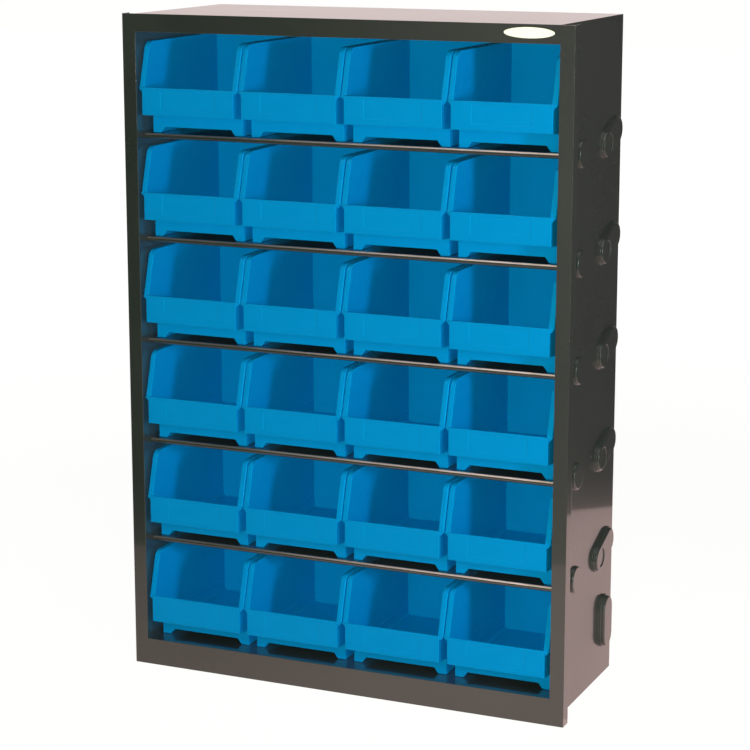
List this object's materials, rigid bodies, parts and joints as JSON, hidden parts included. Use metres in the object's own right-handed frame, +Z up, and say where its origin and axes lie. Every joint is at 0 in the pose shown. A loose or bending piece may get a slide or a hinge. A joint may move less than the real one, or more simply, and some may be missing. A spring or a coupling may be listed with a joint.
{
  "type": "parts bin cabinet",
  "caption": "Open-front sheet steel cabinet with rows of open-top plastic parts bins that slide out of the front on fixed shelves.",
  "frame": {"origin": "on the floor, at the centre of the cabinet's footprint", "axes": "+X to the right as seen from the open front, +Y from the front to the back, +Z up"},
  "size_m": [0.665, 0.2636, 0.95],
  "materials": {
    "painted_steel": "gloss dark grey-brown paint",
    "bin_plastic": "injection-moulded plastic, satin to semi-gloss, bright blue",
    "badge_enamel": "gloss white, blank",
    "rivet_aluminium": "bare rivet heads"
  },
  "bodies": {
    "cabinet": {"left_side_panel": "painted_steel", "right_side_panel": "painted_steel", "top_panel": "painted_steel", "bottom_panel": "painted_steel", "back_panel": "painted_steel", "shelf_1": "painted_steel", "shelf_2": "painted_steel", "shelf_3": "painted_steel", "shelf_4": "painted_steel", "shelf_5": "painted_steel", "name_badge": "badge_enamel", "back_rivets": "rivet_aluminium"},
    "bin_r1_c1": {"bin_r1_c1": "bin_plastic"},
    "bin_r1_c2": {"bin_r1_c2": "bin_plastic"},
    "bin_r1_c3": {"bin_r1_c3": "bin_plastic"},
    "bin_r1_c4": {"bin_r1_c4": "bin_plastic"},
    "bin_r2_c1": {"bin_r2_c1": "bin_plastic"},
    "bin_r2_c2": {"bin_r2_c2": "bin_plastic"},
    "bin_r2_c3": {"bin_r2_c3": "bin_plastic"},
    "bin_r2_c4": {"bin_r2_c4": "bin_plastic"},
    "bin_r3_c1": {"bin_r3_c1": "bin_plastic"},
    "bin_r3_c2": {"bin_r3_c2": "bin_plastic"},
    "bin_r3_c3": {"bin_r3_c3": "bin_plastic"},
    "bin_r3_c4": {"bin_r3_c4": "bin_plastic"},
    "bin_r4_c1": {"bin_r4_c1": "bin_plastic"},
    "bin_r4_c2": {"bin_r4_c2": "bin_plastic"},
    "bin_r4_c3": {"bin_r4_c3": "bin_plastic"},
    "bin_r4_c4": {"bin_r4_c4": "bin_plastic"},
    "bin_r5_c1": {"bin_r5_c1": "bin_plastic"},
    "bin_r5_c2": {"bin_r5_c2": "bin_plastic"},
    "bin_r5_c3": {"bin_r5_c3": "bin_plastic"},
    "bin_r5_c4": {"bin_r5_c4": "bin_plastic"},
    "bin_r6_c1": {"bin_r6_c1": "bin_plastic"},
    "bin_r6_c2": {"bin_r6_c2": "bin_plastic"},
    "bin_r6_c3": {"bin_r6_c3": "bin_plastic"},
    "bin_r6_c4": {"bin_r6_c4": "bin_plastic"}
  },
  "joints": [
    {"name": "slide_bin_r1_c1", "type": "slide", "parent": "cabinet", "child": "bin_r1_c1", "axis": [0, -1, 0], "range_m": [0, 0.24]},
    {"name": "slide_bin_r1_c2", "type": "slide", "parent": "cabinet", "child": "bin_r1_c2", "axis": [0, -1, 0], "range_m": [0, 0.24]},
    {"name": "slide_bin_r1_c3", "type": "slide", "parent": "cabinet", "child": "bin_r1_c3", "axis": [0, -1, 0], "range_m": [0, 0.24]},
    {"name": "slide_bin_r1_c4", "type": "slide", "parent": "cabinet", "child": "bin_r1_c4", "axis": [0, -1, 0], "range_m": [0, 0.24]},
    {"name": "slide_bin_r2_c1", "type": "slide", "parent": "cabinet", "child": "bin_r2_c1", "axis": [0, -1, 0], "range_m": [0, 0.24]},
    {"name": "slide_bin_r2_c2", "type": "slide", "parent": "cabinet", "child": "bin_r2_c2", "axis": [0, -1, 0], "range_m": [0, 0.24]},
    {"name": "slide_bin_r2_c3", "type": "slide", "parent": "cabinet", "child": "bin_r2_c3", "axis": [0, -1, 0], "range_m": [0, 0.24]},
    {"name": "slide_bin_r2_c4", "type": "slide", "parent": "cabinet", "child": "bin_r2_c4", "axis": [0, -1, 0], "range_m": [0, 0.24]},
    {"name": "slide_bin_r3_c1", "type": "slide", "parent": "cabinet", "child": "bin_r3_c1", "axis": [0, -1, 0], "range_m": [0, 0.24]},
    {"name": "slide_bin_r3_c2", "type": "slide", "parent": "cabinet", "child": "bin_r3_c2", "axis": [0, -1, 0], "range_m": [0, 0.24]},
    {"name": "slide_bin_r3_c3", "type": "slide", "parent": "cabinet", "child": "bin_r3_c3", "axis": [0, -1, 0], "range_m": [0, 0.24]},
    {"name": "slide_bin_r3_c4", "type": "slide", "parent": "cabinet", "child": "bin_r3_c4", "axis": [0, -1, 0], "range_m": [0, 0.24]},
    {"name": "slide_bin_r4_c1", "type": "slide", "parent": "cabinet", "child": "bin_r4_c1", "axis": [0, -1, 0], "range_m": [0, 0.24]},
    {"name": "slide_bin_r4_c2", "type": "slide", "parent": "cabinet", "child": "bin_r4_c2", "axis": [0, -1, 0], "range_m": [0, 0.24]},
    {"name": "slide_bin_r4_c3", "type": "slide", "parent": "cabinet", "child": "bin_r4_c3", "axis": [0, -1, 0], "range_m": [0, 0.24]},
    {"name": "slide_bin_r4_c4", "type": "slide", "parent": "cabinet", "child": "bin_r4_c4", "axis": [0, -1, 0], "range_m": [0, 0.24]},
    {"name": "slide_bin_r5_c1", "type": "slide", "parent": "cabinet", "child": "bin_r5_c1", "axis": [0, -1, 0], "range_m": [0, 0.24]},
    {"name": "slide_bin_r5_c2", "type": "slide", "parent": "cabinet", "child": "bin_r5_c2", "axis": [0, -1, 0], "range_m": [0, 0.24]},
    {"name": "slide_bin_r5_c3", "type": "slide", "parent": "cabinet", "child": "bin_r5_c3", "axis": [0, -1, 0], "range_m": [0, 0.24]},
    {"name": "slide_bin_r5_c4", "type": "slide", "parent": "cabinet", "child": "bin_r5_c4", "axis": [0, -1, 0], "range_m": [0, 0.24]},
    {"name": "slide_bin_r6_c1", "type": "slide", "parent": "cabinet", "child": "bin_r6_c1", "axis": [0, -1, 0], "range_m": [0, 0.24]},
    {"name": "slide_bin_r6_c2", "type": "slide", "parent": "cabinet", "child": "bin_r6_c2", "axis": [0, -1, 0], "range_m": [0, 0.24]},
    {"name": "slide_bin_r6_c3", "type": "slide", "parent": "cabinet", "child": "bin_r6_c3", "axis": [0, -1, 0], "range_m": [0, 0.24]},
    {"name": "slide_bin_r6_c4", "type": "slide", "parent": "cabinet", "child": "bin_r6_c4", "axis": [0, -1, 0], "range_m": [0, 0.24]}
  ]
}
